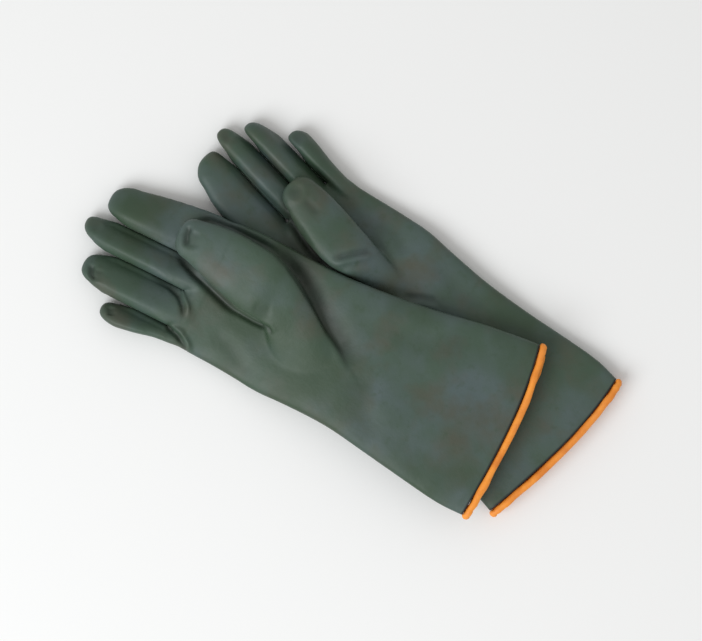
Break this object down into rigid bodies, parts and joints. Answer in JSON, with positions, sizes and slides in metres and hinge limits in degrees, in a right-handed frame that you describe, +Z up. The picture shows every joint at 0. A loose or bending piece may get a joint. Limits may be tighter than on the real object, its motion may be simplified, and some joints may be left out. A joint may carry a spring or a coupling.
{
  "type": "insulating glove pair",
  "caption": "Pair of dipped rubber insulating gauntlets with long flared cuffs, dark skin, orange lining and rolled orange bead, right glove lying on the left.",
  "frame": {"origin": "Centre of the bounding box in plan, on the plate that the pair lies on.", "axes": "+Z up, off the plate. +X along the pair from the fingertips to the cuff mouths, the longest extent. The left glove lies towards +Y at the fingers, with its palm up."},
  "size_m": [0.4562, 0.231, 0.0538],
  "materials": {
    "outer_rubber": "satin",
    "inner_rubber": "satin"
  },
  "bodies": {
    "left_glove": {"left_sleeve_skin": "outer_rubber", "left_sleeve_lining": "inner_rubber", "left_cuff_bead": "inner_rubber"},
    "right_glove": {"right_sleeve_skin": "outer_rubber", "right_sleeve_lining": "inner_rubber", "right_cuff_bead": "inner_rubber"},
    "left_little": {"left_little_skin": "outer_rubber", "left_little_lining": "inner_rubber"},
    "left_ring": {"left_ring_skin": "outer_rubber", "left_ring_lining": "inner_rubber"},
    "left_middle": {"left_middle_skin": "outer_rubber", "left_middle_lining": "inner_rubber"},
    "left_index": {"left_index_skin": "outer_rubber", "left_index_lining": "inner_rubber"},
    "left_thumb": {"left_thumb_skin": "outer_rubber", "left_thumb_lining": "inner_rubber"},
    "right_little": {"right_little_skin": "outer_rubber", "right_little_lining": "inner_rubber"},
    "right_ring": {"right_ring_skin": "outer_rubber", "right_ring_lining": "inner_rubber"},
    "right_middle": {"right_middle_skin": "outer_rubber", "right_middle_lining": "inner_rubber"},
    "right_index": {"right_index_skin": "outer_rubber", "right_index_lining": "inner_rubber"},
    "right_thumb": {"right_thumb_skin": "outer_rubber", "right_thumb_lining": "inner_rubber"}
  },
  "joints": [
    {"name": "right_glove_lift", "type": "slide", "parent": "left_glove", "child": "right_glove", "axis": [0, 0, 1], "range_m": [0, 0.15]},
    {"name": "left_little_flex", "type": "hinge", "parent": "left_glove", "child": "left_little", "pos_m": [-0.08802, 0.09937, 0.0214], "axis": [0.1702, 0.9854, 0], "range_deg": [0, 75], "stiffness_Nm_per_rad": 0.05},
    {"name": "left_ring_flex", "type": "hinge", "parent": "left_glove", "child": "left_ring", "pos_m": [-0.10523, 0.082, 0.0214], "axis": [0.1702, 0.9854, 0], "range_deg": [0, 75], "stiffness_Nm_per_rad": 0.05},
    {"name": "left_middle_flex", "type": "hinge", "parent": "left_glove", "child": "left_middle", "pos_m": [-0.12088, 0.06192, 0.0214], "axis": [0.1702, 0.9854, 0], "range_deg": [0, 75], "stiffness_Nm_per_rad": 0.05},
    {"name": "left_index_flex", "type": "hinge", "parent": "left_glove", "child": "left_index", "pos_m": [-0.14073, 0.03511, 0.0196], "axis": [0.1702, 0.9854, 0], "range_deg": [0, 75], "stiffness_Nm_per_rad": 0.05},
    {"name": "left_thumb_flex", "type": "hinge", "parent": "left_glove", "child": "left_thumb", "pos_m": [-0.03774, 0.05562, 0.0399], "axis": [0.1702, 0.9854, 0], "range_deg": [0, 50], "stiffness_Nm_per_rad": 0.05},
    {"name": "right_little_flex", "type": "hinge", "parent": "right_glove", "child": "right_little", "pos_m": [-0.13198, -0.09776, 0.0218], "axis": [-0.1702, 0.9854, 0], "range_deg": [0, 75], "stiffness_Nm_per_rad": 0.05},
    {"name": "right_ring_flex", "type": "hinge", "parent": "right_glove", "child": "right_ring", "pos_m": [-0.14616, -0.07438, 0.02604], "axis": [-0.1702, 0.9854, 0], "range_deg": [0, 75], "stiffness_Nm_per_rad": 0.05},
    {"name": "right_middle_flex", "type": "hinge", "parent": "right_glove", "child": "right_middle", "pos_m": [-0.16092, -0.0477, 0.02721], "axis": [-0.1702, 0.9854, 0], "range_deg": [0, 75], "stiffness_Nm_per_rad": 0.05},
    {"name": "right_index_flex", "type": "hinge", "parent": "right_glove", "child": "right_index", "pos_m": [-0.16858, -0.01508, 0.02786], "axis": [-0.1702, 0.9854, 0], "range_deg": [0, 75], "stiffness_Nm_per_rad": 0.05},
    {"name": "right_thumb_flex", "type": "hinge", "parent": "right_glove", "child": "right_thumb", "pos_m": [-0.08376, -0.01261, 0.05725], "axis": [-0.1702, 0.9854, 0], "range_deg": [0, 50], "stiffness_Nm_per_rad": 0.05}
  ]
}
